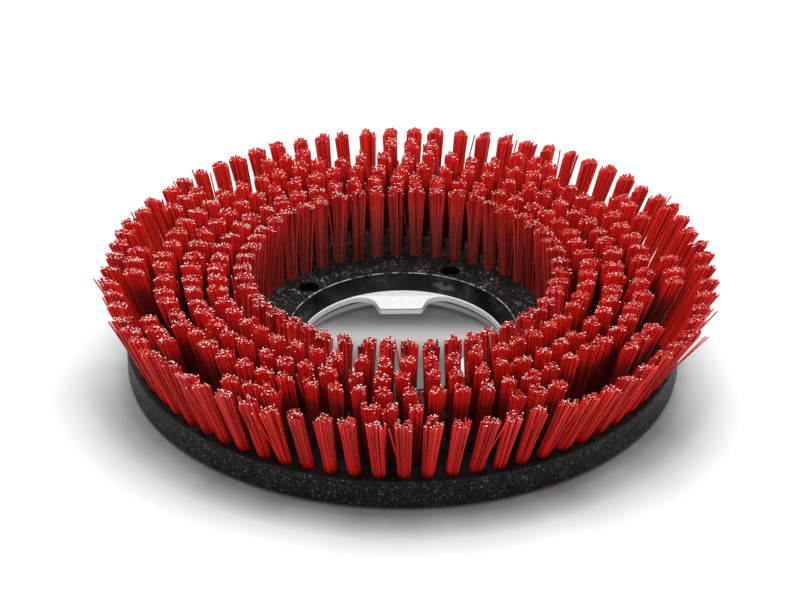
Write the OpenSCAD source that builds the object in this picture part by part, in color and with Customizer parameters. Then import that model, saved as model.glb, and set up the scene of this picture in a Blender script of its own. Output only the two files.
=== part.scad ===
// Disc scrubbing brush for a rotary floor machine, lying on its drive side with the bristles up.
// The spin axis is Z and the drive face lies in the plane z = 0.

/* [Block] */
// Thickness of the brush block
block_t = 22; // [20:0.5:30]
// Distance by which the centre hole widens from the clutch plate to the bristle face
hole_flare = 7; // [2:0.5:8]
// Ledge of the clutch plate left bare round its opening
hole_lip = 0.6; // [0.2:0.1:2]
// Rim left outside the slices that carry the tufts
rim_w = 1.8; // [1.5:0.1:12]
// Bevel round the lower outer edge
base_bevel = 3; // [1:0.5:5]
// Bevel on the edges of the bristle face
edge_bevel = 0.8; // [0.4:0.1:1.2]

/* [Clutch plate] */
// Diameter of the opening between the lugs
opening_d = 144.8; // [120:0.2:170]
// Step from the opening out to the hub register below the lugs
register_step = 1.3; // [0.5:0.1:3]
// Wall of the raised ring that carries the lugs, outside the register
ring_wall = 5.3; // [3:0.1:6]
// Height of the raised ring and of its lugs
lug_t = 4.5; // [3:0.5:6]
// Thickness of the flange
flange_t = 6.5; // [4:0.5:7]
// Width of the flange outside the screw circle
flange_margin = 12.7; // [8:0.1:30]
// Number of drive lugs
lugs = 3; // [2:1:4]
// Length of a lug from the opening to its flat tip
lug_len = 25.4; // [16:0.2:30]
// Width of the flat tip of a lug
lug_tip_w = 30.4; // [20:0.2:36]
// Slope of the sides of a lug, in degrees
lug_splay = 17.5; // [5:0.5:25]
// Radius where the side of a lug runs into the ring
lug_root_r = 12; // [6:0.5:14]
// Radius of the tip corners of a lug
lug_corner_r = 3; // [0.5:0.25:4]
// Direction of the first lug, in degrees
lug_turn = 91.4; // [0:0.1:360]

/* [Clutch screws] */
// Number of screws
screws = 5; // [3:1:8]
// Direction of the first screw, in degrees
screw_turn = 67.2; // [0:0.1:360]
// Thread diameter
screw_d = 6; // [4:0.5:8]
// Diameter of the screw head
head_d = 10; // [9:0.5:12]
// Height of the screw head
head_h = 5; // [3:0.5:6]
// Width across flats of the hexagon socket
socket_w = 5; // [3:0.5:6]
// Depth of the hexagon socket
socket_t = 2.5; // [1.5:0.25:2.75]
// Distance from the end of a screw to the drive face
screw_end = 1; // [0.5:0.25:2]
// Diameter of the washers
washer_d = 12.5; // [12:0.25:14]
// Thickness of the washers
washer_t = 1.6; // [1:0.1:2.5]
// Diameter of the counterbores in the block
counterbore_d = 14.5; // [14.1:0.1:16]
// Land between the edge of the centre hole and the counterbores
counterbore_land = 1.25; // [0.5:0.05:4]
// Thickness of the block under the washers
web_t = 3; // [2:0.5:5]

/* [Bristles] */
// Height of the bristle tips above the drive face
brush_h = 73.5; // [60:0.5:90]
// Land between the counterbores and the slices that carry the tufts
backing_land = 5.85; // [2:0.05:12]
// Distance between rows of tufts
row_pitch = 14.8; // [13:0.1:18]
// Outward lean that each row adds to the row inside it, in degrees
lean_step = 4.6; // [0:0.1:6]
// Width of a tuft at the block
tuft_base_w = 8.8; // [6:0.2:10]
// Width of a tuft at its tip
tuft_tip_w = 11.6; // [8:0.2:13]
// Tufts, or groups of tufts, in each row from the inside out
row_items = [48, 52, 56, 63, 12, 73]; // [12:1:80]
// Tufts in each group, row by row
group_tufts = [1, 1, 1, 1, 3, 1]; // [1:1:3]
// Direction of the first group in each row, in degrees
row_turns = [2.4, 1.7, 0.6, -2.5, 88, -1]; // [-180:0.1:180]
// Angle between the tufts of a group, in degrees
group_step = 4.5; // [4:0.1:6]
// Thickness of the slice of block that carries the tufts
backing_t = 2; // [1:0.5:4]

/* [Fits] */
// Radial clearance of the clutch plate in its recess
seat_clearance = 0.2; // [0.1:0.05:0.4]
// Radial clearance of the screws in the plate
thread_clearance = 0.05; // [0.02:0.01:0.1]
// Radial clearance of the screws in the block and in the washers
screw_clearance = 0.3; // [0.2:0.05:0.5]
// Gap round each slice of the bristle backing
backing_gap = 0.1; // [0.05:0.05:0.2]

/* [Hidden] */
$fn = 96;
// Length by which a cutter passes a face
cut = 1;
// Depth by which the root fillets of a lug run into the ring
root_bite = 0.1;
// Share by which the outermost point of a border passes the rim
border_reach = 1.05;
// Part of a step by which a tuft on a border counts as past it
border_slack = 0.001;
// Straight steps in the arcs of a lug
corner_steps = 4;
root_steps = 10;
opening_r = opening_d / 2;
register_r = opening_r + register_step;
ring_r = register_r + ring_wall;
hole_foot_r = opening_r + hole_lip;
hole_r = hole_foot_r + hole_flare;
counterbore_r = counterbore_d / 2;
screw_circle_r = hole_r + edge_bevel + counterbore_land + counterbore_r;
flange_r = screw_circle_r + flange_margin;
plate_t = flange_t + lug_t;
washer_z = flange_t + web_t;
head_z = washer_z + washer_t;
rows = len(row_items);
last_row = rows - 1;
backing_ri = screw_circle_r + counterbore_r + backing_land;
backing_ro = backing_ri + rows * row_pitch;
block_r = backing_ro + rim_w;
backing_z = block_t - backing_t;
// The bristles are built in sectors, one for each group of the broken row
sectors = min(row_items);
sector_step = 360 / sectors;
broken_row = search(sectors, row_items)[0];
sector_turn = row_turns[broken_row] - sector_step / 2;

function polar(r, a) = [r * cos(a), r * sin(a)];
function turned(p, a) = [p.x * cos(a) - p.y * sin(a), p.x * sin(a) + p.y * cos(a)];
function flipped(list) = [for (i = [len(list) - 1 : -1 : 0]) list[i]];
function arc(centre, r, from, to, steps) = [
    for (i = [0 : steps]) centre + polar(r, from + (to - from) * i / steps)
];

// Places its children at one of the screws
module at_screw(i) {
    rotate(screw_turn + (i - 1) * 360 / screws)
        translate([screw_circle_r, 0, 0])
            children();
}

// Block: a thick disc with a tapering centre hole, seats for the clutch plate and counterbores
module brush_block() {
    color([0.08, 0.08, 0.08])
        difference() {
            rotate_extrude()
                polygon([
                    [flange_r + seat_clearance, 0],
                    [block_r - base_bevel, 0],
                    [block_r, base_bevel],
                    [block_r, block_t - edge_bevel],
                    [block_r - edge_bevel, block_t],
                    [backing_ro + backing_gap, block_t],
                    [backing_ro + backing_gap, backing_z],
                    [backing_ri - backing_gap, backing_z],
                    [backing_ri - backing_gap, block_t],
                    [hole_r + edge_bevel, block_t],
                    [hole_r, block_t - edge_bevel],
                    [hole_foot_r, plate_t],
                    [ring_r + seat_clearance, plate_t],
                    [ring_r + seat_clearance, flange_t],
                    [flange_r + seat_clearance, flange_t]
                ]);
            for (i = [1 : screws])
                at_screw(i) {
                    cylinder(h = block_t + cut, d = screw_d + 2 * screw_clearance);
                    translate([0, 0, washer_z])
                        cylinder(h = block_t, r = counterbore_r);
                }
        }
}

// Lug outline, pointing at the axis along -Y, with round tip corners and hollow root fillets
side_normal = [cos(lug_splay), -sin(lug_splay)];
lug_tip_r = opening_r - lug_len;
tip_corner = [lug_tip_w / 2, lug_tip_r];
corner_centre = [
    tip_corner.x - lug_corner_r * (1 - sin(lug_splay)) / cos(lug_splay),
    lug_tip_r + lug_corner_r
];
root_reach = opening_r - lug_root_r + root_bite;
root_angle = lug_splay + asin((lug_root_r + tip_corner * side_normal) / root_reach);
root_centre = polar(root_reach, 90 - root_angle);
// Radius inside the ring where the lug outline is closed
anchor_r = (register_r + ring_r) / 2;

module lug_outline() {
    half = concat(
        arc(corner_centre, lug_corner_r, -90, -lug_splay, corner_steps),
        arc(root_centre, lug_root_r, 180 - lug_splay, 90 - root_angle, root_steps)
    );
    polygon(concat(
        half,
        arc([0, 0], anchor_r, 90 - root_angle, 90 + root_angle, root_steps),
        flipped([for (p = half) [-p.x, p.y]])
    ));
}

// Clutch plate: a flange with a hub register, and a raised ring with the drive lugs
module clutch_plate() {
    color([0.85, 0.85, 0.86])
        difference() {
            union() {
                difference() {
                    cylinder(h = flange_t, r = flange_r);
                    translate([0, 0, -cut])
                        cylinder(h = flange_t + 2 * cut, r = register_r);
                }
                translate([0, 0, flange_t])
                    linear_extrude(lug_t) {
                        difference() {
                            circle(r = ring_r);
                            circle(r = opening_r);
                        }
                        for (i = [0 : lugs - 1])
                            rotate(lug_turn - 90 + i * 360 / lugs)
                                lug_outline();
                    }
            }
            for (i = [1 : screws])
                at_screw(i)
                    translate([0, 0, -cut])
                        cylinder(h = flange_t + 2 * cut, d = screw_d + 2 * thread_clearance);
        }
}

// Socket-head screw through the block into the flange
module clutch_screw(i) {
    color([0.2, 0.2, 0.21])
        at_screw(i)
            difference() {
                union() {
                    translate([0, 0, screw_end])
                        cylinder(h = head_z - screw_end, d = screw_d);
                    translate([0, 0, head_z])
                        cylinder(h = head_h, d = head_d);
                }
                translate([0, 0, head_z + head_h - socket_t])
                    cylinder(h = socket_t + cut, d = socket_w / cos(30), $fn = 6);
            }
}

module screw_washer(i) {
    color([0.45, 0.45, 0.46])
        at_screw(i)
            translate([0, 0, washer_z])
                difference() {
                    cylinder(h = washer_t, d = washer_d);
                    translate([0, 0, -cut])
                        cylinder(h = washer_t + 2 * cut, d = screw_d + 2 * screw_clearance);
                }
}

// Rows of tufts: the angle between the groups of a row, and the first group of a sector
function row_r(k) = backing_ri + (k + 0.5) * row_pitch;
function item_step(k) = 360 / row_items[k];
function first_item(k, s) =
    ceil((sector_turn + s * sector_step - row_turns[k]) / item_step(k) - border_slack);
function item_angle(k, i) = row_turns[k] + i * item_step(k);

// Border between two sectors, stepping from row to row so that it passes between the tufts
function border(s) = [
    for (k = [0 : last_row])
        for (end = [-0.5, 0.5])
            let (reach = k == last_row && end > 0 ? border_reach / cos(sector_step / 2) : 1)
                polar((row_r(k) + end * row_pitch) * reach, item_angle(k, first_item(k, s) - 0.5))
];

module backing_slice(s) {
    gap_angle = atan(backing_gap / 2 / backing_ri);
    linear_extrude(backing_t)
        intersection() {
            difference() {
                circle(r = backing_ro);
                circle(r = backing_ri);
            }
            polygon(concat(
                [polar(0, 0)],
                [for (p = border(s)) turned(p, gap_angle)],
                [for (p = flipped(border(s + 1))) turned(p, -gap_angle)]
            ));
        }
}

// One tuft: a four-sided strand that leans outward, widens to its tip and has a level end
function level_square(w, x, z) = [
    for (corner = [[-1, -1], [1, -1], [1, 1], [-1, 1]])
        [x + corner.x * w / 2, corner.y * w / 2, z]
];

module tuft(k) {
    slope = tan(k * lean_step);
    sink = backing_t / 2;
    polyhedron(
        points = concat(
            level_square(tuft_base_w, row_r(k) - sink * slope, block_t - sink),
            level_square(tuft_tip_w, row_r(k) + (brush_h - block_t) * slope, brush_h)
        ),
        faces = concat(
            [[0, 1, 2], [0, 2, 3], [4, 6, 5], [4, 7, 6]],
            [for (i = [0 : 3]) [i, i + 4, (i + 1) % 4 + 4]],
            [for (i = [0 : 3]) [i, (i + 1) % 4 + 4, (i + 1) % 4]]
        )
    );
}

// Bristles of one sector, standing on their slice of the block
module bristle_sector(s) {
    color([0.78, 0.1, 0.1])
        union() {
            translate([0, 0, backing_z])
                backing_slice(s);
            for (k = [0 : last_row])
                for (i = [first_item(k, s) : first_item(k, s + 1) - 1])
                    for (j = [0 : group_tufts[k] - 1])
                        rotate(item_angle(k, i) + (j - (group_tufts[k] - 1) / 2) * group_step)
                            tuft(k);
        }
}

brush_block();
clutch_plate();
for (i = [1 : screws]) {
    clutch_screw(i);
    screw_washer(i);
}
for (i = [1 : sectors]) {
    bristle_sector(i);
}
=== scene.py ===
"""Disc scrubbing brush: red filament tufts in a black moulded block, with a metal clutch plate below."""

import math

import bmesh
import bpy
import numpy as np
from mathutils import Matrix, Vector


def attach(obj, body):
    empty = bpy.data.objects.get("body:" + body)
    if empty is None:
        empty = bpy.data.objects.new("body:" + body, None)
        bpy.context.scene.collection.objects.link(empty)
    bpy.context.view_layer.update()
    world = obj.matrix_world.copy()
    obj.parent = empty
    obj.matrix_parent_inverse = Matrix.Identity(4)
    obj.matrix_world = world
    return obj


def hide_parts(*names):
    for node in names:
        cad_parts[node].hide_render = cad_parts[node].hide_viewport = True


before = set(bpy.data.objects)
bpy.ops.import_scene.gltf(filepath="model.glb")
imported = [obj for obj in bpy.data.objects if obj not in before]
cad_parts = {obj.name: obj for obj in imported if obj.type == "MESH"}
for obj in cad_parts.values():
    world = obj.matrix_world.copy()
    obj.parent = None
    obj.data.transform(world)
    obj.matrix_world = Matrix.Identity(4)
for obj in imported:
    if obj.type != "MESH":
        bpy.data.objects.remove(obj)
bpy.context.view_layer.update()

MM = 0.001

# Clutch plate, in millimetres and degrees
FLANGE_R = 102.0
FLANGE_T = 6.5
FLANGE_EDGE = 0.5
TAPPED_R = 3.05
REGISTER_R = 73.7
RING_IN_R = 72.4
RING_OUT_R = 79.0
RING_STEPS = 240
PLATE_T = 11.0
PLATE_ROUND = 0.3
PLATE_ROUND_STEPS = 2
LUGS = 3
LUG_TURN = 91.4
LUG_TIP_R = 47.0
LUG_TIP_W = 30.4
LUG_SPLAY = 17.5
LUG_ROOT_R = 12.0
LUG_ROOT_STEPS = 10
LUG_CORNER_R = 3.0
LUG_CORNER_STEPS = 6
LUG_GAP_STEPS = 60
WELD = 0.1
MERGE = 0.001
GROOVE_DEPTH = 2.5
GROOVE_H = 2.0

# Block, in millimetres and degrees
BLOCK_R = 193.0
BLOCK_T = 22.0
BASE_BEVEL = 3.0
EDGE_ROUND = 0.9
EDGE_STEPS = 4
HOLE_LOW_R = 73.0
HOLE_HIGH_R = 80.0
SEAT_CLEARANCE = 0.2
SEAT_R = RING_OUT_R + SEAT_CLEARANCE
SEAT_Z = PLATE_T
FLANGE_SEAT_R = FLANGE_R + SEAT_CLEARANCE
FLANGE_SEAT_Z = FLANGE_T
SCREWS = 5
SCREW_TURN = 67.2
SCREW_CIRCLE_R = 89.3
COUNTERBORE_R = 7.25
COUNTERBORE_Z = 9.5
SCREW_HOLE_R = 3.3
SCREW_HOLE_STEPS = 40
LATHE_STEPS = 256
CUT_OVER = 3.0
SMOOTH_ANGLE = 35.0

# Mould mark on the wall of the centre hole, in millimetres and degrees: a small dent painted as shade, in a
# pale smudge
DENT_SHADE_TURN = 66.4
DENT_SHADE_Z = 17.6
DENT_SHADE_SIZE = (2.4, 2.4, 1.9)
SMUDGE_TURN = 66.9
SMUDGE_Z = 15.9
SMUDGE_SIZE = (10.5, 10.5, 2.5)

# Tufts, in millimetres and degrees
ROW_PLACES = (48, 52, 56, 63, 12, 73)
GROUP_TUFTS = (1, 1, 1, 1, 3, 1)
ROW_TURNS = (2.4, 1.7, 0.6, -2.5, 88.0, -1.0)
OUTER_ROW = len(ROW_PLACES) - 1
GROUP_STEP = 4.5
FIRST_ROW_R = 109.8
ROW_PITCH = 14.8
LEAN_STEP = 4.6
TIP_Z = 73.0
FIRST_ROW_RISE = 1.2
OUTER_LEAN_SHIFT = (1.2, 3.9)
TUFT_HOLE_R = 5.3
TUFT_HOLE_DEPTH = 9.0
TUFT_HOLE_STEPS = 20
SECTORS = 12
SECTOR_TURN = 73.0
PLACE_SLACK = 0.001

# Filaments, in millimetres and degrees
FILAMENTS = 56
FILAMENT_R = (0.55, 0.57, 0.62)
FILAMENT_SIDES = 5
CORE_R = 0.44
CORE_RISE = 0.12
RING_SHARES = (0.0, 0.5, 1.0)
ROOT_DEPTH = 5.0
ROOT_SCATTER = 0.12
TUFT_ROOT_R = 4.0
TIP_SQUARE = 0.85
FLARE_X = (1.22, 1.12, 1.12, 1.12, 1.16, 1.22)
FLARE_X_AT_SIDES = 1.62
FLARE_Y = 1.2
FLARE_Y_AT_SIDES = 0.88
SPREAD_POWER = 1.15
CLUMPS = 5
CLUMP_PUSH = (0.8, 0.8)
CLUMP_PUSH_AT_SIDES = (0.8, 0.4)
CLUMP_RISE = 1.1
CLUMP_RISE_AT_SIDES = 0.5
TIP_SCATTER = 0.3
TIP_RAGGED = 1.0
TIP_RAGGED_AT_SIDES = 0.4
TIP_DOME = 3.0
TIP_DOME_AT_SIDES = 2.2
DOME_MIDDLE = 0.4
CALM_AT_BACK = 0.65
STRAY_SHARE = 0.035
STRAY_PUSH = (3.2, 1.6)
LOOSE_TUFTS = (-14.0, -24.0)
LOOSE_NEAR = 2.4
LOOSE_PUSH = (2.4, 4.6)
LEAN_JITTER = 0.8
SIDE_JITTER = 1.1
SEED = 7

# Differences in colour between filaments, in shares: clump tones, painted glow on the inner row at the left
# and right, and weaker painted highlights on cut ends at the right and the back
CLUMP_TONE = 0.6
CLUMP_TONE_EDGE_ROWS = 0.25
# Painted glow on the inner row at its left and right
INNER_SIDE_GLOW = 0.5
# Weaker painted highlights on the cut ends at the right and the back
RIGHT_HIGHLIGHT_DIMMING = 0.22
BACK_HIGHLIGHT_DIMMING = 0.32

# Where colours, and painted light and shade, change on the block, the plate and the floor, in millimetres
HOLE_FADE_R = (80.0, 81.2)
# A painted highlight along the upper edge of the hole
EDGE_HIGHLIGHT_R = (79.8, 81.2)
EDGE_HIGHLIGHT_Z = (21.3, 21.6)
TOP_FADE_Z = (21.2, 21.7)
LAND_FADE_R = (100.0, 112.0)
# Painted shade on the top outward of the rows
OUTER_TOP_SHADE_R = (135.0, 165.0)
LUG_FADE_R = (56.0, 60.0)
# Painted shade at the top of the lugs' tips
LUG_TOP_SHADE_Z = (9.5, PLATE_T)
FLOOR_HOLE_R = (72.0, 82.0)
FLOOR_HOLE_Y = (-70.0, 60.0)
FLOOR_SHADE_R = (BLOCK_R, 300.0)

# Which faces are flat, by how upright their normals are
MAP_FLATNESS = 0.5
CAST_FLATNESS = 0.9

# Sockets of the mix node for colours, by number because those for other kinds have the same names
MIX_FACTOR = 0
MIX_FIRST = 6
MIX_SECOND = 7
MIX_RESULT = 2

# Bake map of the block, in shares of the map: squares by corner and width, strips by foot, height and count
MAP_TOP = (0.005, 0.005, 0.68)
MAP_UNDERSIDE = (0.69, 0.005, 0.305)
MAP_HOLES = (0.69, 0.315, 0.305)
MAP_RIM = (0.69, 0.066, 4)
MAP_HOLE_WALL = (0.956, 0.04, 1)
MAP_MARGIN = 0.01
MAP_STRIP_FILL = 0.9

# Bake map of the filaments, in shares of the cell that each of them has
MAP_COLUMNS = 48
MAP_WALL_ACROSS = (0.05, 0.45)
MAP_WALL_UP = (0.04, 0.96)
MAP_CUT_CENTRE = (0.74, 0.5)
MAP_CUT_REACH = (0.21, 0.42)

# Camera, in metres and degrees, with its lens in millimetres
CAMERA_DISTANCE = 1.930
CAMERA_ELEVATION = 31.091
CAMERA_PIVOT_Z = 0.003
CAMERA_TARGET = (-0.00183, 0.0, 0.04517)
CAMERA_CLIP = (0.05, 30.0)
CAMERA_LENS = 123.11
SENSOR_W = 36.0

# Floor: how far it reaches in metres, and its colour
FLOOR_REACH = 4.0
FLOOR_WHITE = (0.975, 0.98, 0.98)

# Light, with angles in degrees and lamps by name, energy and direction
SKY_LEVEL = 0.17
SKY_MIRRORED = 1.0
KEY_ANGLE = 36.0
KEYS = (("key_left", 1.5, (0.42, -0.26, -1.0)), ("key_right", 1.9, (-0.42, -0.26, -1.0)))
FLOOR_KEY_ANGLE = 52.0
FLOOR_KEYS = (("floor_left", 1.5, (0.04, -0.26, -1.0)), ("floor_right", 1.9, (-0.08, -0.26, -1.0)))
FILL = ("fill", 1.55, (0.0, 0.6, -1.0))
CARD = ("card", 2.0, (0.0, 1.0, -0.8))


# Shared mesh helpers

def link(name, data):
    """A new object with that mesh, curve, lamp or camera, in the scene."""
    made = bpy.data.objects.new(name, data)
    bpy.context.scene.collection.objects.link(made)
    return made


def smooth_by_angle(mesh):
    """Smooth shading, with sharp edges kept crisp."""
    mesh.shade_smooth()
    mesh.set_sharp_from_angle(angle=math.radians(SMOOTH_ANGLE))


def corner_arc(centre, radius, start, end, steps):
    """Points of an arc in a plane, from one angle in degrees to another."""
    points = []
    for i in range(steps + 1):
        angle = math.radians(start + (end - start) * i / steps)
        points.append((centre[0] + radius * math.cos(angle), centre[1] + radius * math.sin(angle)))
    return points


def on_circle(radius, degrees, height):
    """A point at a radius, angle and height in millimetres, in metres."""
    angle = math.radians(degrees)
    return Vector((radius * math.cos(angle), radius * math.sin(angle), height)) * MM


def lathe(name, profile):
    """A closed solid turned about Z from a closed profile of (radius, height) in millimetres."""
    count = len(profile)
    verts = []
    for i in range(LATHE_STEPS):
        angle = 2 * math.pi * i / LATHE_STEPS
        for radius, height in profile:
            verts.append((radius * MM * math.cos(angle), radius * MM * math.sin(angle), height * MM))
    faces = []
    for i in range(LATHE_STEPS):
        here = i * count
        there = (i + 1) % LATHE_STEPS * count
        for j in range(count):
            k = (j + 1) % count
            faces.append((here + j, there + j, there + k, here + k))
    mesh = bpy.data.meshes.new(name)
    mesh.from_pydata(verts, [], faces)
    return link(name, mesh)


def tube_between(bm, low, high, radius, steps):
    """Adds a closed round bar between two points to a bmesh."""
    axis = high - low
    turn = Vector((0, 0, 1)).rotation_difference(axis).to_matrix().to_4x4()
    place = Matrix.Translation((low + high) / 2) @ turn
    bmesh.ops.create_cone(
        bm, cap_ends=True, segments=steps, radius1=radius, radius2=radius, depth=axis.length, matrix=place
    )


def as_object(name, bm):
    """An object of what is in a bmesh, which is used up."""
    mesh = bpy.data.meshes.new(name)
    bm.to_mesh(mesh)
    bm.free()
    return link(name, mesh)


def combine(piece, other, operation):
    """Joins another closed solid to the piece, or cuts it out, and removes the other."""
    cut = piece.modifiers.new("combine", "BOOLEAN")
    cut.operation = operation
    cut.solver = "MANIFOLD"
    cut.object = other
    solid = bpy.data.meshes.new_from_object(piece.evaluated_get(bpy.context.evaluated_depsgraph_get()))
    piece.modifiers.clear()
    old = piece.data
    piece.data = solid
    bpy.data.meshes.remove(old)
    bpy.data.objects.remove(other)


def mount(piece, nodes, slot_name, *materials):
    """Rides a finished piece on the frame, for the nodes that it stands for."""
    while len(piece.data.materials) > 0:
        piece.data.materials.pop()
    for material in materials:
        piece.data.materials.append(material)
    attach(piece, "root")
    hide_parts(*nodes)
    return piece


# Tuft layout

def first_place(row, sector):
    """The first place of a row that lies in a sector."""
    step = 360 / ROW_PLACES[row]
    return math.ceil((SECTOR_TURN + sector * 360 / SECTORS - ROW_TURNS[row]) / step - PLACE_SLACK)


def place_angles(row, place):
    """Angles of the tufts at one place of a row."""
    middle = ROW_TURNS[row] + place * 360 / ROW_PLACES[row]
    count = GROUP_TUFTS[row]
    return [middle + (i - (count - 1) / 2) * GROUP_STEP for i in range(count)]


def sector_tufts(sector):
    """(row, angle) of every tuft in a sector."""
    tufts = []
    for row in range(len(ROW_PLACES)):
        for place in range(first_place(row, sector), first_place(row, sector + 1)):
            tufts += [(row, angle) for angle in place_angles(row, place)]
    return tufts


def row_radius(row):
    """Where a row stands on the block's top."""
    return FIRST_ROW_R + ROW_PITCH * row


# Shared material helpers

def new_material(name):
    """An empty node material and its main shader."""
    material = bpy.data.materials.new(name)
    material.use_nodes = True
    return material, material.node_tree, material.node_tree.nodes["Principled BSDF"]


def node(tree, kind, **settings):
    """A node with its inputs and properties set by name."""
    made = tree.nodes.new(kind)
    for key, value in settings.items():
        if key in made.inputs:
            made.inputs[key].default_value = value
        else:
            setattr(made, key, value)
    return made


def grey(level):
    """A colour without a hue."""
    return (level, level, level)


def ramp(tree, factor, *stops):
    """A colour ramp over a factor, from (position, colour) stops."""
    made = tree.nodes.new("ShaderNodeValToRGB")
    elements = made.color_ramp.elements
    while len(elements) < len(stops):
        elements.new(0.5)
    for element, (position, colour) in zip(elements, stops):
        element.position = position
        element.color = (*colour, 1.0)
    tree.links.new(factor, made.inputs["Fac"])
    return made.outputs["Color"]


def greys(tree, factor, *stops):
    """A ramp of greys over a factor, from (position, level) stops."""
    return ramp(tree, factor, *[(position, grey(level)) for position, level in stops])


def blend(tree, kind, factor, first, second):
    """Two colours blended; the factor and either colour may be a value or a node's output."""
    made = node(tree, "ShaderNodeMix", data_type="RGBA", blend_type=kind)
    for index, value in ((MIX_FACTOR, factor), (MIX_FIRST, first), (MIX_SECOND, second)):
        if isinstance(value, bpy.types.NodeSocket):
            tree.links.new(value, made.inputs[index])
        else:
            made.inputs[index].default_value = value
    return made.outputs[MIX_RESULT]


def multiply(tree, first, second):
    """One colour times another."""
    return blend(tree, "MULTIPLY", 1.0, first, second)


def own_place(tree):
    """Places on the piece, in its own metres."""
    return tree.nodes.new("ShaderNodeTexCoord").outputs["Object"]


def vector_math(tree, operation, first, second=None):
    """Vector arithmetic on a node's output, with a fixed second vector where one is needed."""
    made = node(tree, "ShaderNodeVectorMath", operation=operation)
    tree.links.new(first, made.inputs[0])
    if second is not None:
        made.inputs[1].default_value = second
    return made.outputs["Value" if operation == "LENGTH" else "Vector"]


def span(tree, value, limits):
    """0 to 1 as a value in metres goes between two limits in millimetres."""
    made = tree.nodes.new("ShaderNodeMapRange")
    made.inputs["From Min"].default_value = limits[0] * MM
    made.inputs["From Max"].default_value = limits[1] * MM
    tree.links.new(value, made.inputs["Value"])
    return made.outputs["Result"]


def along(tree, axis, limits):
    """0 to 1 between two places along an axis of the piece."""
    split = tree.nodes.new("ShaderNodeSeparateXYZ")
    tree.links.new(own_place(tree), split.inputs["Vector"])
    return span(tree, split.outputs[axis], limits)


def from_axis(tree, limits):
    """0 to 1 between two distances from the spin axis."""
    flat = vector_math(tree, "MULTIPLY", own_place(tree), (1, 1, 0))
    return span(tree, vector_math(tree, "LENGTH", flat), limits)


def around_axis(tree):
    """0 to 1 round the spin axis: left, front, right, back and left again."""
    angle = node(tree, "ShaderNodeTexGradient", gradient_type="RADIAL")
    tree.links.new(own_place(tree), angle.inputs["Vector"])
    return angle.outputs["Fac"]


def noise(tree, scale, detail=2.0, roughness=0.5, place=None):
    """Noise over the piece's own metres, or over other places."""
    made = node(tree, "ShaderNodeTexNoise", Scale=scale, Detail=detail, Roughness=roughness)
    tree.links.new(own_place(tree) if place is None else place, made.inputs["Vector"])
    return made.outputs["Fac"]


def polar_noise(tree, turns, reach):
    """Noise in strips that run away from the spin axis."""
    spot = tree.nodes.new("ShaderNodeCombineXYZ")
    tree.links.new(around_axis(tree), spot.inputs["X"])
    tree.links.new(from_axis(tree, (0.0, 1 / MM)), spot.inputs["Y"])
    scaled = vector_math(tree, "MULTIPLY", spot.outputs["Vector"], (turns, reach, 1))
    return noise(tree, 1.0, 3.0, place=scaled)


def patch(tree, centre, size):
    """1 in the middle of a soft ellipsoid, falling to 0 at its edge."""
    off = vector_math(tree, "SUBTRACT", own_place(tree), centre)
    scaled = vector_math(tree, "DIVIDE", off, [side * MM for side in size])
    return greys(tree, vector_math(tree, "LENGTH", scaled), (0.5, 1.0), (1.0, 0.0))


def set_colour(tree, shader, colour):
    """Main colour of a shader from a node's output."""
    tree.links.new(colour, shader.inputs["Base Color"])


def set_roughness(tree, shader, factor, low, high):
    """Roughness of a shader, which wanders between two levels with a noise."""
    tree.links.new(greys(tree, factor, (0.3, low), (0.7, high)), shader.inputs["Roughness"])


def bump(tree, shader, height, strength, distance):
    """Relief on a shader from a height."""
    made = node(tree, "ShaderNodeBump", Strength=strength, Distance=distance)
    tree.links.new(height, made.inputs["Height"])
    tree.links.new(made.outputs["Normal"], shader.inputs["Normal"])


# Block materials

def on_hole_wall(degrees, height):
    """A place on the wall of the centre hole, in metres."""
    share = (height - SEAT_Z) / (BLOCK_T - SEAT_Z)
    return on_circle(HOLE_LOW_R + (HOLE_HIGH_R - HOLE_LOW_R) * share, degrees, height)


def hole_wall_colour(tree):
    """Black with soft clouds of painted reflection, and a mould mark: a small dent painted as shade, a
    near-black spot in a pale smudge.
    """
    # Soft clouds of painted reflection on the black wall.
    reflection_clouds = greys(tree, noise(tree, 50, 4), (0.45, 0.001), (0.60, 0.02), (0.74, 0.10))
    uneven = greys(tree, noise(tree, 240, 3), (0.30, 0.45), (0.60, 1.0))
    smudge = multiply(tree, patch(tree, on_hole_wall(SMUDGE_TURN, SMUDGE_Z), SMUDGE_SIZE), uneven)
    smudged = blend(tree, "MIX", smudge, reflection_clouds, (0.14, 0.15, 0.155, 1.0))
    # Painted shade of a small dent: a near-black spot.
    dent_shade = patch(tree, on_hole_wall(DENT_SHADE_TURN, DENT_SHADE_Z), DENT_SHADE_SIZE)
    return blend(tree, "MIX", dent_shade, smudged, (0.001, 0.001, 0.001, 1.0))


def block_grain(tree):
    """Pale grains on black, thicker in some patches."""
    cells = node(tree, "ShaderNodeTexVoronoi", Scale=1300.0)
    tree.links.new(own_place(tree), cells.inputs["Vector"])
    grain = greys(tree, cells.outputs["Color"], (0.45, 0.001), (0.68, 0.022), (0.85, 0.15), (0.97, 0.75))
    patches = greys(tree, noise(tree, 170, 4), (0.36, 0.35), (0.66, 1.0))
    return multiply(tree, grain, patches)


def land_sheen_and_scratches(tree):
    """Fine wisps and short radial lines in patches: partly scratches, partly painted reflection of the light
    between the tufts.
    """
    wisps = greys(tree, noise(tree, 560, 4, 0.65), (0.54, 0.0), (0.61, 0.09), (0.70, 1.0))
    lines = greys(tree, polar_noise(tree, 260, 160), (0.60, 0.0), (0.74, 0.6))
    # Patches where the scratches and the painted reflection streaks show.
    sheen_and_wear_patches = greys(tree, noise(tree, 75, 3, 0.6), (0.42, 0.08), (0.62, 1.0))
    return multiply(tree, blend(tree, "ADD", 1.0, wisps, lines), sheen_and_wear_patches)


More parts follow.
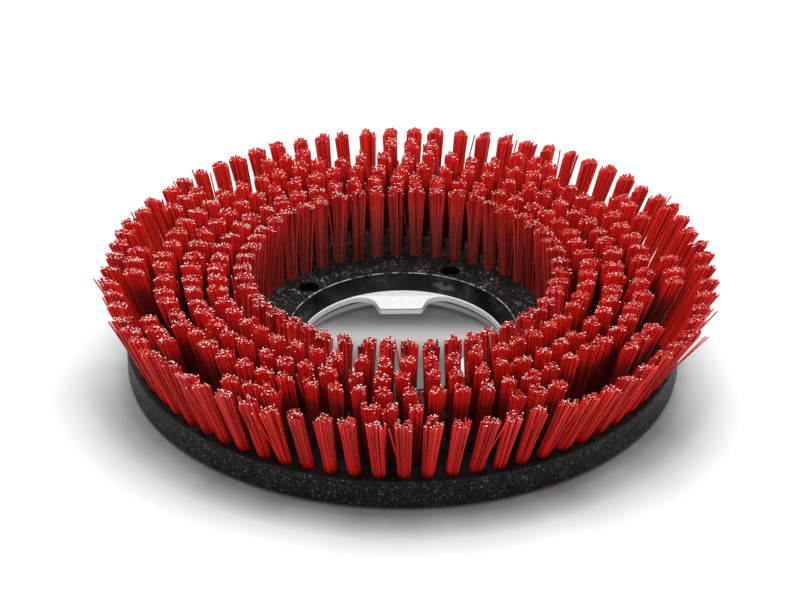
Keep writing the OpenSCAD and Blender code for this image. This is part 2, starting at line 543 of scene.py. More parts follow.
def outside_colour(tree):
    """Grain that is dim on the top: outward of the rows as painted shade under the outer tufts, and on the
    land between the hole and the first row, which has painted reflection streaks and scratches.
    """
    top = along(tree, "Z", TOP_FADE_Z)
    # Painted shade under the outer tufts: the grain on the top outward of the rows is dimmed.
    outer_top_shade = greys(tree, top, (0.0, 1.0), (1.0, 0.14))
    land_top = greys(tree, top, (0.0, 0.03), (1.0, 0.09))
    glints = greys(tree, top, (0.0, 0.03), (1.0, 0.95))
    land = greys(tree, from_axis(tree, LAND_FADE_R), (0.0, 1.0), (1.0, 0.0))
    shaded = blend(tree, "MULTIPLY", from_axis(tree, OUTER_TOP_SHADE_R), block_grain(tree), outer_top_shade)
    dimmed = blend(tree, "MULTIPLY", land, shaded, land_top)
    return blend(tree, "ADD", land, dimmed, multiply(tree, land_sheen_and_scratches(tree), glints))


def hole_edge_highlight(tree):
    """A painted highlight: a thin broken pale line along the upper edge of the centre hole."""
    ring = greys(tree, from_axis(tree, EDGE_HIGHLIGHT_R), (0.0, 1.0), (0.44, 1.0), (0.66, 0.0))
    top = greys(tree, along(tree, "Z", EDGE_HIGHLIGHT_Z), (0.0, 0.0), (1.0, 1.0))
    breaks = greys(tree, noise(tree, 170, 5, 0.7), (0.44, 0.06), (0.54, 1.0))
    return multiply(tree, multiply(tree, ring, top), breaks)


def block_material():
    """Black moulded plastic: fine grain and pale specks, a smooth hole wall and a painted highlight along
    the hole edge.
    """
    material, tree, shader = new_material("block_plastic")
    outside = greys(tree, from_axis(tree, HOLE_FADE_R), (0.0, 0.0), (1.0, 1.0))
    # The painted highlight along the hole edge goes over the rest.
    body = blend(tree, "MIX", outside, hole_wall_colour(tree), outside_colour(tree))
    set_colour(tree, shader, blend(tree, "MIX", hole_edge_highlight(tree), body, (0.95, 0.95, 0.95, 1.0)))
    set_roughness(tree, shader, noise(tree, 260, 2), 0.28, 0.44)
    shader.inputs["Specular IOR Level"].default_value = 0.18
    grain = greys(tree, noise(tree, 1100, 3, 0.6), (0.0, 0.0), (1.0, 1.0))
    bump(tree, shader, multiply(tree, grain, outside), 1.0, 0.0014)
    return material


# Filament materials

def filament_painted_shading(tree):
    """Painted shading from root to tip: shade deep between the rows, shade with a pale painted sheen low in
    the inner row, and painted light at the foot of the outer row.
    """
    length = along(tree, "Z", (BLOCK_T, TIP_Z))
    field = ramp(
        tree, length,
        (0.0, (0.10, 0.014, 0.010)), (0.35, (0.13, 0.014, 0.010)), (0.55, (0.17, 0.014, 0.010)),
        (0.70, (0.29, 0.016, 0.012)), (0.85, (0.88, 0.025, 0.020)), (0.93, (0.98, 0.028, 0.024)),
    )
    inner = ramp(
        tree, length,
        (0.0, (0.34, 0.060, 0.046)), (0.15, (0.32, 0.057, 0.044)), (0.35, (0.44, 0.060, 0.046)),
        (0.58, (0.66, 0.068, 0.053)), (0.78, (0.96, 0.070, 0.055)), (0.88, (1.0, 0.056, 0.045)),
        (0.97, (1.0, 0.036, 0.030)),
    )
    outer = ramp(
        tree, length,
        (0.0, (1.0, 0.032, 0.023)), (0.14, (0.96, 0.030, 0.022)), (0.30, (0.92, 0.029, 0.021)),
        (0.45, (0.84, 0.026, 0.019)), (0.75, (0.82, 0.025, 0.018)), (0.90, (0.94, 0.025, 0.020)),
        (1.0, (1.0, 0.028, 0.024)),
    )
    return field, inner, outer


def filament_material():
    """Red nylon: each filament has its own tint, and painted shade darkens it below the tip, least in the
    outer row.
    """
    material, tree, shader = new_material("filament_nylon")
    tone = node(tree, "ShaderNodeAttribute", attribute_name="tone").outputs["Fac"]
    tint = greys(tree, tone, (0.0, 0.66), (1.0, 1.0))
    inner_tint = greys(tree, tone, (0.10, 0.22), (0.75, 1.0))
    outer_tint = greys(tree, tone, (0.15, 0.47), (0.85, 1.0))
    field, inner, outer = filament_painted_shading(tree)
    red = multiply(tree, field, tint)
    # The inner and outer rows take their own painted shading.
    for name, colour, own_tint in (("inner", inner, inner_tint), ("outer", outer, outer_tint)):
        share = node(tree, "ShaderNodeAttribute", attribute_name=name).outputs["Fac"]
        red = blend(tree, "MIX", share, red, multiply(tree, colour, own_tint))
    set_colour(tree, shader, red)
    set_roughness(tree, shader, noise(tree, 700, 1), 0.24, 0.36)
    shader.inputs["Specular IOR Level"].default_value = 0.42
    shader.inputs["Specular Tint"].default_value = (1.0, 0.42, 0.33, 1.0)
    return material


def cut_material():
    """Cut filament ends: most are red, some have a pale painted highlight."""
    material, tree, shader = new_material("filament_cut")
    spark = node(tree, "ShaderNodeAttribute", attribute_name="spark").outputs["Fac"]
    colour = ramp(
        tree, spark,
        (0.0, (0.46, 0.020, 0.016)), (0.51, (0.47, 0.030, 0.024)),
        (0.56, (0.52, 0.18, 0.115)), (0.63, (0.56, 0.37, 0.27)), (0.66, (0.76, 0.95, 0.91)),
    )
    set_colour(tree, shader, colour)
    set_roughness(tree, shader, noise(tree, 900, 1), 0.3, 0.45)
    return material


# Metal materials

def cast_material():
    """Pale cast metal with a fine grain, for the flat faces of the plate; its grey is darker than the walls'
    as painted shade, balancing the stronger light on the tops.
    """
    material, tree, shader = new_material("plate_cast")
    grain = noise(tree, 900, 3)
    set_colour(tree, shader, ramp(tree, grain, (0.3, (0.47, 0.485, 0.49)), (0.7, (0.79, 0.805, 0.81))))
    set_roughness(tree, shader, noise(tree, 420, 3), 0.45, 0.6)
    shader.inputs["Metallic"].default_value = 0.2
    bump(tree, shader, noise(tree, 1300, 3), 0.3, 0.0003)
    return material


def wall_painted_light_bands(tree):
    """Bands of painted highlight and shade up the walls of the plate: bright lines at the ring's lower and
    upper edges, a dark band of painted shade at the groove, and painted shade at the top of the lugs' tips.
    """
    bands = greys(
        tree, along(tree, "Z", (0.0, PLATE_T)),
        (0.0, 0.42), (0.16, 0.48), (0.22, 0.64), (0.28, 0.48), (0.385, 0.44), (0.40, 0.10),
        (0.57, 0.10), (0.59, 1.0), (0.65, 1.0), (0.71, 0.84), (0.86, 0.86), (0.92, 1.0),
    )
    tip = greys(tree, from_axis(tree, LUG_FADE_R), (0.0, 1.0), (1.0, 0.0))
    # Painted shade at the top of the lugs' tips.
    lug_top_shade = greys(tree, along(tree, "Z", LUG_TOP_SHADE_Z), (0.0, 1.0), (0.3, 0.4))
    return blend(tree, "MULTIPLY", tip, bands, lug_top_shade)


def turned_material():
    """Bright turned metal for the walls of the plate: fine lines round the axis, under bands of painted
    highlight and shade.
    """
    material, tree, shader = new_material("plate_turned")
    stretched = vector_math(tree, "MULTIPLY", own_place(tree), (12, 12, 2600))
    lines = noise(tree, 1.0, 3.0, place=stretched)
    colour = ramp(tree, lines, (0.3, (0.80, 0.815, 0.82)), (0.7, (0.93, 0.945, 0.95)))
    set_colour(tree, shader, multiply(tree, colour, wall_painted_light_bands(tree)))
    set_roughness(tree, shader, lines, 0.26, 0.40)
    shader.inputs["Metallic"].default_value = 0.25
    return material


def dark_metal(name, low, high):
    """Hardware steel with uneven tarnish."""
    material, tree, shader = new_material(name)
    set_colour(tree, shader, greys(tree, noise(tree, 400, 3), (0.3, low), (0.7, high)))
    set_roughness(tree, shader, noise(tree, 900, 2), 0.32, 0.5)
    shader.inputs["Metallic"].default_value = 0.9
    return material


# Block

def block_profile():
    """Half section of the block, anticlockwise, with rounded upper edges."""
    rim = corner_arc((BLOCK_R - EDGE_ROUND, BLOCK_T - EDGE_ROUND), EDGE_ROUND, 0, 90, EDGE_STEPS)
    lip = corner_arc((HOLE_HIGH_R + EDGE_ROUND, BLOCK_T - EDGE_ROUND), EDGE_ROUND, 90, 180, EDGE_STEPS)
    return [
        (FLANGE_SEAT_R, 0), (BLOCK_R - BASE_BEVEL, 0), (BLOCK_R, BASE_BEVEL), *rim, *lip,
        (HOLE_LOW_R, SEAT_Z), (SEAT_R, SEAT_Z), (SEAT_R, FLANGE_SEAT_Z), (FLANGE_SEAT_R, FLANGE_SEAT_Z),
    ]


def tuft_bars():
    """Bars that cut all tuft holes, each along the lean of its tuft."""
    bm = bmesh.new()
    for sector in range(1, SECTORS + 1):
        for row, angle in sector_tufts(sector):
            slope = math.tan(math.radians(LEAN_STEP * row))
            high = on_circle(row_radius(row) + CUT_OVER * slope, angle, BLOCK_T + CUT_OVER)
            low = on_circle(row_radius(row) - TUFT_HOLE_DEPTH * slope, angle, BLOCK_T - TUFT_HOLE_DEPTH)
            tube_between(bm, low, high, TUFT_HOLE_R * MM, TUFT_HOLE_STEPS)
    return as_object("tuft_bars", bm)


def screw_bars(radius, low, high):
    """Upright bars at the screws, between two heights."""
    bm = bmesh.new()
    for i in range(SCREWS):
        angle = SCREW_TURN + i * 360 / SCREWS
        bottom = on_circle(SCREW_CIRCLE_R, angle, low)
        top = on_circle(SCREW_CIRCLE_R, angle, high)
        tube_between(bm, bottom, top, radius * MM, SCREW_HOLE_STEPS)
    return as_object("screw_bars", bm)


def seen_from_above(left, low, width):
    """Places in a square of the map, as seen from above."""
    scale = width / (2 * BLOCK_R * MM)
    return lambda spot: (left + width / 2 + spot.x * scale, low + width / 2 + spot.y * scale)


def unrolled(centre, strip, bottom, top):
    """Places in the strips of a round wall, for a face with that centre."""
    foot, height, strips = strip
    middle = math.atan2(centre.y, centre.x)
    index = math.floor((middle / (2 * math.pi) + 0.5) * strips)

    def place(spot):
        off = math.remainder(math.atan2(spot.y, spot.x) - middle, 2 * math.pi)
        across = ((middle + off) / (2 * math.pi) + 0.5) * strips - index
        up = (spot.z / MM - bottom) / (top - bottom) * MAP_STRIP_FILL
        return MAP_MARGIN + (1 - 2 * MAP_MARGIN) * across, foot + height * (index + up)

    return place


def block_face_place(face):
    """How a face of the block is laid out: flat ones as seen from above, round walls unrolled."""
    centre = face.center
    reach = math.hypot(centre.x, centre.y) / MM
    height = centre.z / MM
    if face.normal.z > MAP_FLATNESS and height > BLOCK_T - EDGE_ROUND:
        return seen_from_above(*MAP_TOP)
    if face.normal.z < -MAP_FLATNESS:
        return seen_from_above(*MAP_UNDERSIDE)
    if reach > BLOCK_R - EDGE_ROUND:
        return unrolled(centre, MAP_RIM, BASE_BEVEL, BLOCK_T)
    if reach < HOLE_HIGH_R + EDGE_ROUND and height > SEAT_Z:
        return unrolled(centre, MAP_HOLE_WALL, SEAT_Z, BLOCK_T)
    return seen_from_above(*MAP_HOLES)


def add_block_map(mesh):
    """A map for a bake that gives most of its room to the top and the rim."""
    layer = mesh.uv_layers.new(name="OFBake")
    for face in mesh.polygons:
        place = block_face_place(face)
        for corner, vertex in zip(face.loop_indices, face.vertices):
            layer.uv[corner].vector = place(mesh.vertices[vertex].co)


def make_block():
    """The moulded block with its tuft holes and screw holes."""
    block = lathe("block_moulding", block_profile())
    combine(block, tuft_bars(), "DIFFERENCE")
    counterbores = screw_bars(COUNTERBORE_R, COUNTERBORE_Z, BLOCK_T + CUT_OVER)
    combine(block, counterbores, "DIFFERENCE")
    screw_holes = screw_bars(SCREW_HOLE_R, FLANGE_SEAT_Z - CUT_OVER, COUNTERBORE_Z + CUT_OVER)
    combine(block, screw_holes, "DIFFERENCE")
    smooth_by_angle(block.data)
    add_block_map(block.data)
    mount(block, ["brush_block"], "block", block_material())


# Shape of the filaments

def disc_points(count, radius, rng):
    """Evenly packed points in a disc, a golden angle apart and a little unsettled."""
    index = np.arange(count) + 0.5
    reach = radius * np.sqrt(index / count)
    turn = index * math.pi * (3 - math.sqrt(5)) + rng.uniform(0, 2 * math.pi)
    points = np.stack([reach * np.cos(turn), reach * np.sin(turn)], 1)
    return points + rng.normal(0, ROOT_SCATTER, points.shape)


def by_side(angle, plain, at_sides):
    """A value that goes from one at the front and back of the brush to another at its left and right."""
    plain = np.array(plain)
    return plain + (np.array(at_sides) - plain) * math.cos(math.radians(angle)) ** 2


def outer_back(row, angle):
    """1 for the outermost tufts at the back of the brush, falling to 0 at its sides and for other rows."""
    return np.clip(np.sin(np.radians(angle)), 0, None) * (np.array(row) == OUTER_ROW)


def clump_of(root, rng):
    """Which clump each filament of a tuft belongs to."""
    seeds = root[rng.choice(FILAMENTS, CLUMPS, replace=False)]
    return np.linalg.norm(root[:, None, :] - seeds, axis=2).argmin(axis=1)


def has_loose_filaments(row, angle):
    """Whether a tuft is one of those with filaments that hang out."""
    off = min(abs(math.remainder(angle - loose, 360)) for loose in LOOSE_TUFTS)
    return row == OUTER_ROW and off < LOOSE_NEAR


def stray_offsets(row, angle, root, rng):
    """How far the tips of strays and loose filaments are out of place."""
    stray = rng.normal(0, STRAY_PUSH, (FILAMENTS, 2)) * (rng.random((FILAMENTS, 1)) < STRAY_SHARE)
    if has_loose_filaments(row, angle):
        turn = math.radians(angle)
        outermost = np.argsort(root[:, 0])[-len(LOOSE_PUSH):]
        stray[outermost] = np.outer(LOOSE_PUSH, (math.cos(turn), math.sin(turn)))
    return stray


def tip_offsets(row, angle, root, clump, rng):
    """Where the filaments of one tuft end, from its centre line and from the level of the tips."""
    push = rng.normal(0, by_side(angle, CLUMP_PUSH, CLUMP_PUSH_AT_SIDES), (CLUMPS, 2))[clump]
    rise = rng.normal(0, by_side(angle, CLUMP_RISE, CLUMP_RISE_AT_SIDES), CLUMPS)[clump]
    scatter = rng.normal(0, TIP_SCATTER, (FILAMENTS, 2))
    stray = stray_offsets(row, angle, root, rng)
    reach = np.linalg.norm(root, axis=1)
    square = root * (reach / np.abs(root).max(axis=1))[:, None]
    flare = by_side(angle, (FLARE_X[row], FLARE_Y), (FLARE_X_AT_SIDES, FLARE_Y_AT_SIDES))
    flat = (root + (square - root) * TIP_SQUARE) * flare + push + scatter + stray
    dome = by_side(angle, TIP_DOME, TIP_DOME_AT_SIDES) * (DOME_MIDDLE - (root[:, 0] / TUFT_ROOT_R) ** 2)
    ragged = rng.normal(0, by_side(angle, TIP_RAGGED, TIP_RAGGED_AT_SIDES), FILAMENTS)
    calm = 1 - CALM_AT_BACK * outer_back(row, angle)
    return flat, dome + (rise + ragged) * calm


def tuft_rings(row, angle, rng):
    """Ring centres of a tuft's filaments, as (filament, ring, xyz) in millimetres, and their tones."""
    root = disc_points(FILAMENTS, TUFT_ROOT_R, rng)
    clump = clump_of(root, rng)
    tip, rise = tip_offsets(row, angle, root, clump, rng)
    share = CLUMP_TONE_EDGE_ROWS if row in (0, OUTER_ROW) else CLUMP_TONE
    tone = share * rng.random(CLUMPS)[clump] + (1 - share) * rng.random(FILAMENTS)
    top = TIP_Z + rise
    lean = LEAN_STEP * row + rng.normal(0, LEAN_JITTER)
    turn = math.radians(angle)
    if row == 0:
        top += FIRST_ROW_RISE
    if row == OUTER_ROW:
        lean += OUTER_LEAN_SHIFT[0] + OUTER_LEAN_SHIFT[1] * math.cos(turn)
    slope = math.tan(math.radians(lean))
    sway = math.tan(math.radians(rng.normal(0, SIDE_JITTER)))

    low = BLOCK_T - ROOT_DEPTH
    height = low + (top[:, None] - low) * np.array(RING_SHARES)
    above = height - BLOCK_T
    spread = np.clip(above / (TIP_Z - BLOCK_T), 0, None)[:, :, None] ** SPREAD_POWER
    offset = root[:, None, :] + (tip - root)[:, None, :] * spread
    out = row_radius(row) + above * slope
    across = above * sway
    x = out * math.cos(turn) - across * math.sin(turn) + offset[:, :, 0]
    y = out * math.sin(turn) + across * math.cos(turn) + offset[:, :, 1]
    return np.stack([x, y, height], 2), tone


def filament_walls(rings, rng):
    """Wall and cut vertices round the ring centres, as (filament, ring, side, xyz)."""
    start = rng.uniform(0, 2 * math.pi, (len(rings), 1))
    turn = start + np.arange(FILAMENT_SIDES) * 2 * math.pi / FILAMENT_SIDES
    around = np.stack([np.cos(turn), np.sin(turn), np.zeros_like(turn)], 2)
    thick = np.array(FILAMENT_R)[None, :, None, None]
    walls = rings[:, :, None, :] + around[:, None, :, :] * thick
    core = rings[:, -1:, None, :] + around[:, None, :, :] * CORE_R
    core[..., 2] += CORE_RISE
    return np.concatenate([walls, walls[:, -1:], core], 1)


def filament_faces():
    """Faces of one filament: its wall, the edge of its cut end and the core of the cut, which carries the
    painted highlight.
    """
    sides = FILAMENT_SIDES
    rings = len(RING_SHARES)
    faces = []
    for ring in [*range(rings - 1), rings]:
        for side in range(sides):
            after = (side + 1) % sides
            here = ring * sides
            there = here + sides
            faces.append((here + side, here + after, there + after, there + side))
    core = (rings + 1) * sides
    faces.append(tuple(range(core, core + sides)))
    return faces


# Filament pieces

def filament_mesh(name, walls):
    """A mesh of filaments with smooth walls, and cut ends in the second material."""
    step = walls.shape[1] * walls.shape[2]
    pattern = filament_faces()
    faces = []
    for i in range(len(walls)):
        faces += [tuple(i * step + corner for corner in face) for face in pattern]
    mesh = bpy.data.meshes.new(name)
    mesh.from_pydata((walls.reshape(-1, 3) * MM).tolist(), [], faces)
    cut = np.zeros((len(walls), len(pattern)), np.int32)
    cut[:, -FILAMENT_SIDES - 1:] = 1
    mesh.polygons.foreach_set("material_index", cut.ravel())
    mesh.polygons.foreach_set("use_smooth", cut.ravel() == 0)
    return mesh


def light_caught(rows, angles):
    """How strong the painted highlights on the cut ends may be: weaker at the right of the brush, and in the
    outer row at the back.
    """
    right = np.clip(np.cos(np.radians(angles)), 0, None)
    return 1 - RIGHT_HIGHLIGHT_DIMMING * right - BACK_HIGHLIGHT_DIMMING * outer_back(rows, angles)


def row_shares(rows, angles):
    """How much each filament has of the inner row's painted shading and of the outer row's painted light,
    which the inner row takes on as painted glow at its left and right.
    """
    inner = rows == 0
    glow = INNER_SIDE_GLOW * np.cos(np.radians(angles)) ** 2
    return inner, np.where(inner, glow, rows == OUTER_ROW)


def set_values(mesh, **values):
    """Stores a value for each vertex under each name."""
    for name, numbers in values.items():
        layer = mesh.attributes.new(name, "FLOAT", "POINT")
        layer.data.foreach_set("value", numbers.astype(np.float32).ravel())


def cell_corners():
    """Corners of one filament's faces in its cell: the unrolled wall at the left, the cut at the right."""
    def on_wall(side, share):
        return np.interp(side, (0, FILAMENT_SIDES), MAP_WALL_ACROSS), np.interp(share, (0, 1), MAP_WALL_UP)

    def on_cut(side, share):
        turn = 2 * math.pi * side / FILAMENT_SIDES
        reach = np.array(MAP_CUT_REACH) * share
        return tuple(MAP_CUT_CENTRE + reach * (math.cos(turn), math.sin(turn)))

    sides = range(FILAMENT_SIDES)
    core = CORE_R / FILAMENT_R[-1]
    bands = [(on_wall, low, high) for low, high in zip(RING_SHARES, RING_SHARES[1:])]
    bands.append((on_cut, 1.0, core))
    corners = []
    for place, low, high in bands:
        for side in sides:
            corners += [place(side, low), place(side + 1, low), place(side + 1, high), place(side, high)]
    corners += [on_cut(side, core) for side in sides]
    return np.array(corners)


def add_bake_map(mesh, count):
    """A map in which every filament has a cell of its own, for a bake."""
    row, column = np.divmod(np.arange(count), MAP_COLUMNS)
    cells = np.stack([column, row], 1)[:, None, :]
    places = (cells + cell_corners()) / (MAP_COLUMNS, row[-1] + 1)
    mesh.uv_layers.new(name="OFBake").data.foreach_set("uv", places.astype(np.float32).ravel())


def make_sector(sector, rng, materials):
    """All filaments of one sector as one piece."""
    places = sector_tufts(sector)
    rings, tones = zip(*[tuft_rings(row, angle, rng) for row, angle in places])
    walls = filament_walls(np.concatenate(rings), rng)
    rows, angles = np.repeat(places, FILAMENTS, axis=0).T
    count = len(walls)
    per_filament = walls.shape[1] * walls.shape[2]
    spark = np.zeros((count, per_filament))
    spark[:, -FILAMENT_SIDES:] = (rng.random(count) * light_caught(rows, angles))[:, None]
    tone, inner, outer = [
        np.repeat(values, per_filament) for values in (np.concatenate(tones), *row_shares(rows, angles))
    ]
    mesh = filament_mesh(f"tufts_{sector}", walls)
    set_values(mesh, tone=tone, spark=spark, inner=inner, outer=outer)
    add_bake_map(mesh, count)
    mesh.update()
    piece = link(f"tufts_{sector}", mesh)
    return mount(piece, [f"bristle_sector_{sector}"], "bristle", *materials)


def make_tufts():
    """The filaments of all sectors, drawn from one seed."""
    rng = np.random.default_rng(SEED)
    materials = (filament_material(), cut_material())
    return [make_sector(sector, rng, materials) for sector in range(1, SECTORS + 1)]


# Clutch plate

def lug_outline():
    """Half of one lug's edge about its own centre line, from the ring to the tip, in (along, across)."""
    splay = math.radians(LUG_SPLAY)
    side = Vector((math.cos(splay), math.sin(splay)))
    tip_corner = Vector((LUG_TIP_R, LUG_TIP_W / 2))
    normal = Vector((-side.y, side.x))
    # Root fillet: its centre is one radius off the side and inside the ring's circle by one radius
    offset = tip_corner + normal * LUG_ROOT_R
    reach = RING_IN_R - LUG_ROOT_R
    run = -offset.dot(side) + math.sqrt(offset.dot(side) ** 2 - offset.length_squared + reach**2)
    centre = offset + side * run
    start = math.degrees(math.atan2(centre.y, centre.x))
    end = math.degrees(math.atan2(-normal.y, -normal.x))
    root = corner_arc(centre, LUG_ROOT_R, start, end, LUG_ROOT_STEPS)
    # Tip corner: tangent to the side and to the straight tip
    inset = LUG_CORNER_R / math.tan((math.pi / 2 + splay) / 2)
    corner_centre = Vector((LUG_TIP_R + LUG_CORNER_R, tip_corner.y - inset))
    corner = corner_arc(corner_centre, LUG_CORNER_R, 90 + LUG_SPLAY, 180, LUG_CORNER_STEPS)
    return root + corner


def ring_outline():
    """The ring's inner edge with its lugs, anticlockwise."""
    half = lug_outline()
    lug = [(x, -y) for x, y in half] + list(reversed(half))
    root_angle = math.degrees(math.atan2(half[0][1], half[0][0]))
    points = []
    for i in range(LUGS):
        middle = LUG_TURN + i * 360 / LUGS
        turn = Matrix.Rotation(math.radians(middle), 2)
        points += [tuple(turn @ Vector(point)) for point in lug]
        gap_end = middle + 360 / LUGS - root_angle
        points += corner_arc((0, 0), RING_IN_R, middle + root_angle, gap_end, LUG_GAP_STEPS)[1:-1]
    return points


def outline_curve(name, outlines, height, rounding):
    """A filled curve from closed outlines in millimetres, as thick as the height, with rounded edges."""
    curve = bpy.data.curves.new(name, "CURVE")
    curve.dimensions = "2D"
    curve.fill_mode = "BOTH"
    curve.extrude = height / 2 * MM - rounding * MM
    curve.bevel_depth = rounding * MM
    curve.bevel_resolution = PLATE_ROUND_STEPS
    curve.offset = -rounding * MM
    for points in outlines:
        spline = curve.splines.new("POLY")
        spline.points.add(len(points) - 1)
        for point, (x, y) in zip(spline.points, points):
            point.co = (x * MM, y * MM, 0, 1)
        spline.use_cyclic_u = True
    return curve


def flat_solid(name, outlines, low, high, rounding):
    """A flat closed solid from closed outlines in millimetres, between two heights."""
    source = link(name + "_curve", outline_curve(name, outlines, high - low, rounding))
    mesh = bpy.data.meshes.new_from_object(source.evaluated_get(bpy.context.evaluated_depsgraph_get()))
    bpy.data.objects.remove(source)
    mesh.transform(Matrix.Translation((0, 0, (low + high) / 2 * MM)))
    bm = bmesh.new()
    bm.from_mesh(mesh)
    bmesh.ops.remove_doubles(bm, verts=bm.verts, dist=MERGE * MM)
    bmesh.ops.recalc_face_normals(bm, faces=bm.faces)
    return as_object(name, bm)


def flange_profile():
    """Half section of the flange, with the groove under the ring."""
    groove_r = REGISTER_R + GROOVE_DEPTH
    groove_z = FLANGE_T - GROOVE_H
    return [
        (REGISTER_R + FLANGE_EDGE, 0), (FLANGE_R - FLANGE_EDGE, 0), (FLANGE_R, FLANGE_EDGE),
        (FLANGE_R, FLANGE_T), (groove_r, FLANGE_T), (groove_r, groove_z), (REGISTER_R, groove_z),
        (REGISTER_R, FLANGE_EDGE),
    ]


def make_plate():
    """The clutch plate: a flange in the underside, and a ring with lugs in the hole."""
    outer = corner_arc((0, 0), RING_OUT_R, 0, 360 - 360 / RING_STEPS, RING_STEPS - 1)
    plate = flat_solid("clutch_ring", [outer, ring_outline()], FLANGE_T - WELD, PLATE_T, PLATE_ROUND)
    combine(plate, lathe("clutch_flange", flange_profile()), "UNION")
    combine(plate, screw_bars(TAPPED_R, -CUT_OVER, FLANGE_T + CUT_OVER), "DIFFERENCE")
    smooth_by_angle(plate.data)
    mount(plate, ["clutch_plate"], "plate", cast_material(), turned_material())
    for face in plate.data.polygons:
        # The groove's ledge takes the turned metal, whose bands paint it dark as shade.
        in_groove = abs(face.center.z / MM - FLANGE_T + GROOVE_H) < WELD
        face.material_index = 0 if abs(face.normal.z) > CAST_FLATNESS and not in_groove else 1
    plate.visible_shadow = False
    return plate


# Screws and washers

def dress_hardware():
    """Gives the CAD's own screws and washers their metals."""
    steel = dark_metal("screw_steel", 0.05, 0.12)
    bright = dark_metal("washer_steel", 0.3, 0.5)
    for i in range(1, SCREWS + 1):
        for name, material in ((f"clutch_screw_{i}", steel), (f"screw_washer_{i}", bright)):
            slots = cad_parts[name].data.materials
            slots.clear()
            slots.append(material)


# Floor

def floor_outside(tree):
    """White, with a painted contact shade in front of the rim and wide soft painted shades at the front left
    and right, and a cool tint near the rim that cancels the red light thrown onto the floor.
    """
    reach = from_axis(tree, FLOOR_SHADE_R)
    contact = ramp(
        tree, reach,
        (0.0, (0.62, 0.67, 0.673)), (0.06, (0.52, 0.57, 0.572)), (0.16, (0.61, 0.685, 0.69)),
        (0.32, (0.92, 0.98, 0.985)), (1.0, FLOOR_WHITE),
    )
    bare = ramp(tree, reach, (0.0, (0.87, 0.98, 0.985)), (0.45, (0.93, 0.98, 0.98)), (1.0, FLOOR_WHITE))
    soft = greys(
        tree, reach,
        (0.0, 1.0), (0.10, 0.97), (0.20, 0.82), (0.27, 0.77), (0.34, 0.755),
        (0.43, 0.80), (0.55, 0.865), (0.70, 0.90), (0.82, 0.95), (1.0, 1.0),
    )
    turn = around_axis(tree)
    front = greys(tree, turn, (0.0, 0.0), (0.022, 0.35), (0.05, 1.0), (0.43, 1.0), (0.47, 0.15), (0.49, 0.0))
    sides = greys(
        tree, turn,
        (0.0, 0.35), (0.04, 1.0), (0.12, 0.8), (0.18, 0.15), (0.32, 0.1), (0.38, 0.95),
        (0.43, 0.7), (0.46, 0.4), (0.49, 0.05), (0.52, 0.0), (0.97, 0.0), (1.0, 0.35),
    )
    return blend(tree, "MULTIPLY", sides, blend(tree, "MIX", front, bare, contact), soft)


def floor_in_hole(tree):
    """The shade on the floor inside the centre hole, from front to back."""
    return greys(
        tree, along(tree, "Y", FLOOR_HOLE_Y),
        (0.50, 0.155), (0.58, 0.235), (0.72, 0.46), (0.79, 0.375), (0.88, 0.18), (0.95, 0.108),
    )


def floor_material():
    """Matt white with painted shades."""
    material, tree, shader = new_material("floor_white")
    inside = greys(tree, from_axis(tree, FLOOR_HOLE_R), (0.0, 1.0), (1.0, 0.0))
    set_colour(tree, shader, blend(tree, "MIX", inside, floor_outside(tree), floor_in_hole(tree)))
    shader.inputs["Roughness"].default_value = 0.9
    shader.inputs["Specular IOR Level"].default_value = 0.0
    return material


def make_floor():
    """The plain floor that the brush lies on."""
    mesh = bpy.data.meshes.new("floor")
    reach = FLOOR_REACH
    corners = [(-reach, -reach, 0), (reach, -reach, 0), (reach, reach, 0), (-reach, reach, 0)]
    mesh.from_pydata(corners, [], [(0, 1, 2, 3)])
    mesh.materials.append(floor_material())
    floor = link("floor", mesh)
    return floor


# Light

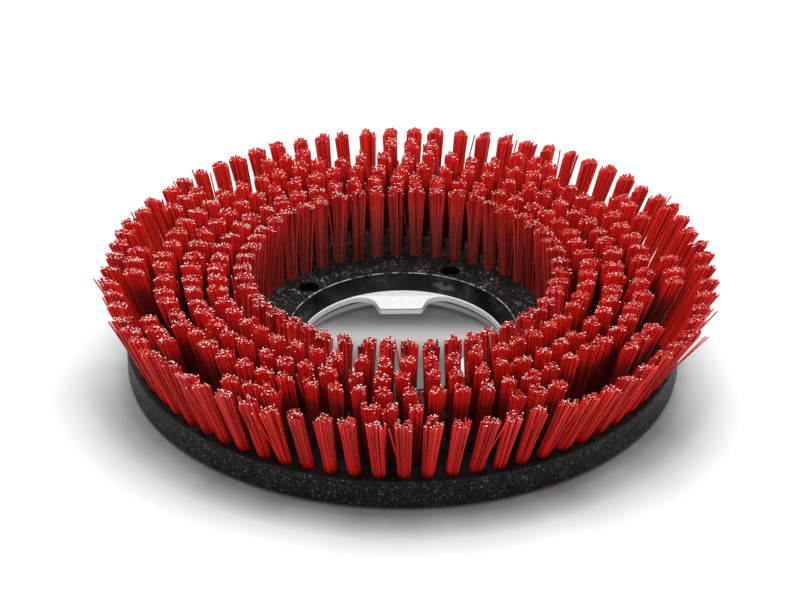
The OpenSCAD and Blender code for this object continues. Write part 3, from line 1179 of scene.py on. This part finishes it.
def make_sky():
    """An even white sky, dim as light and bright in reflections."""
    world = bpy.data.worlds.new("studio")
    world.use_nodes = True
    bpy.context.scene.world = world
    tree = world.node_tree
    sky = tree.nodes["Background"]
    sky.inputs["Color"].default_value = (1, 1, 1, 1)
    path = tree.nodes.new("ShaderNodeLightPath")
    level = tree.nodes.new("ShaderNodeMapRange")
    level.inputs["To Min"].default_value = SKY_LEVEL
    level.inputs["To Max"].default_value = SKY_MIRRORED
    tree.links.new(path.outputs["Is Glossy Ray"], level.inputs["Value"])
    tree.links.new(level.outputs["Result"], sky.inputs["Strength"])


def group(name, pieces):
    """A collection of pieces that lamps are limited to."""
    made = bpy.data.collections.new(name)
    for piece in pieces:
        made.objects.link(piece)
    return made


def add_sun(name, energy, direction, receivers, angle=KEY_ANGLE):
    """A soft lamp without a place, shining in one direction on some of the pieces."""
    lamp = bpy.data.lights.new(name, "SUN")
    lamp.energy = energy
    lamp.angle = math.radians(angle)
    sun = link(name, lamp)
    sun.rotation_euler = Vector(direction).to_track_quat("-Z", "Y").to_euler()
    sun.light_linking.receiver_collection = receivers


def make_lamps(tufts, plate, floor):
    """Two keys on the brush, two steeper ones on the floor, and one lamp each for bristles and plate."""
    not_floor = group("not_floor", [floor])
    not_floor.collection_objects[0].light_linking.link_state = "EXCLUDE"
    for key in KEYS:
        add_sun(*key, not_floor)
    floor_only = group("floor_only", [floor])
    for key in FLOOR_KEYS:
        add_sun(*key, floor_only, FLOOR_KEY_ANGLE)
    add_sun(*FILL, group("bristles", tufts))
    add_sun(*CARD, group("metal", [plate]))


# Camera

def make_camera():
    """The photograph's view."""
    lens = bpy.data.cameras.new("camera")
    lens.lens = CAMERA_LENS
    lens.sensor_width = SENSOR_W
    lens.clip_start, lens.clip_end = CAMERA_CLIP
    camera = link("camera", lens)
    rise = math.radians(CAMERA_ELEVATION)
    camera.location = (
        0, -CAMERA_DISTANCE * math.cos(rise), CAMERA_PIVOT_Z + CAMERA_DISTANCE * math.sin(rise)
    )
    look = Vector(CAMERA_TARGET) - camera.location
    camera.rotation_euler = look.to_track_quat("-Z", "Y").to_euler()
    bpy.context.scene.camera = camera


make_camera()
make_block()
tufts = make_tufts()
plate = make_plate()
dress_hardware()
floor = make_floor()
make_sky()
make_lamps(tufts, plate, floor)
bpy.context.scene.view_settings.view_transform = "Standard"
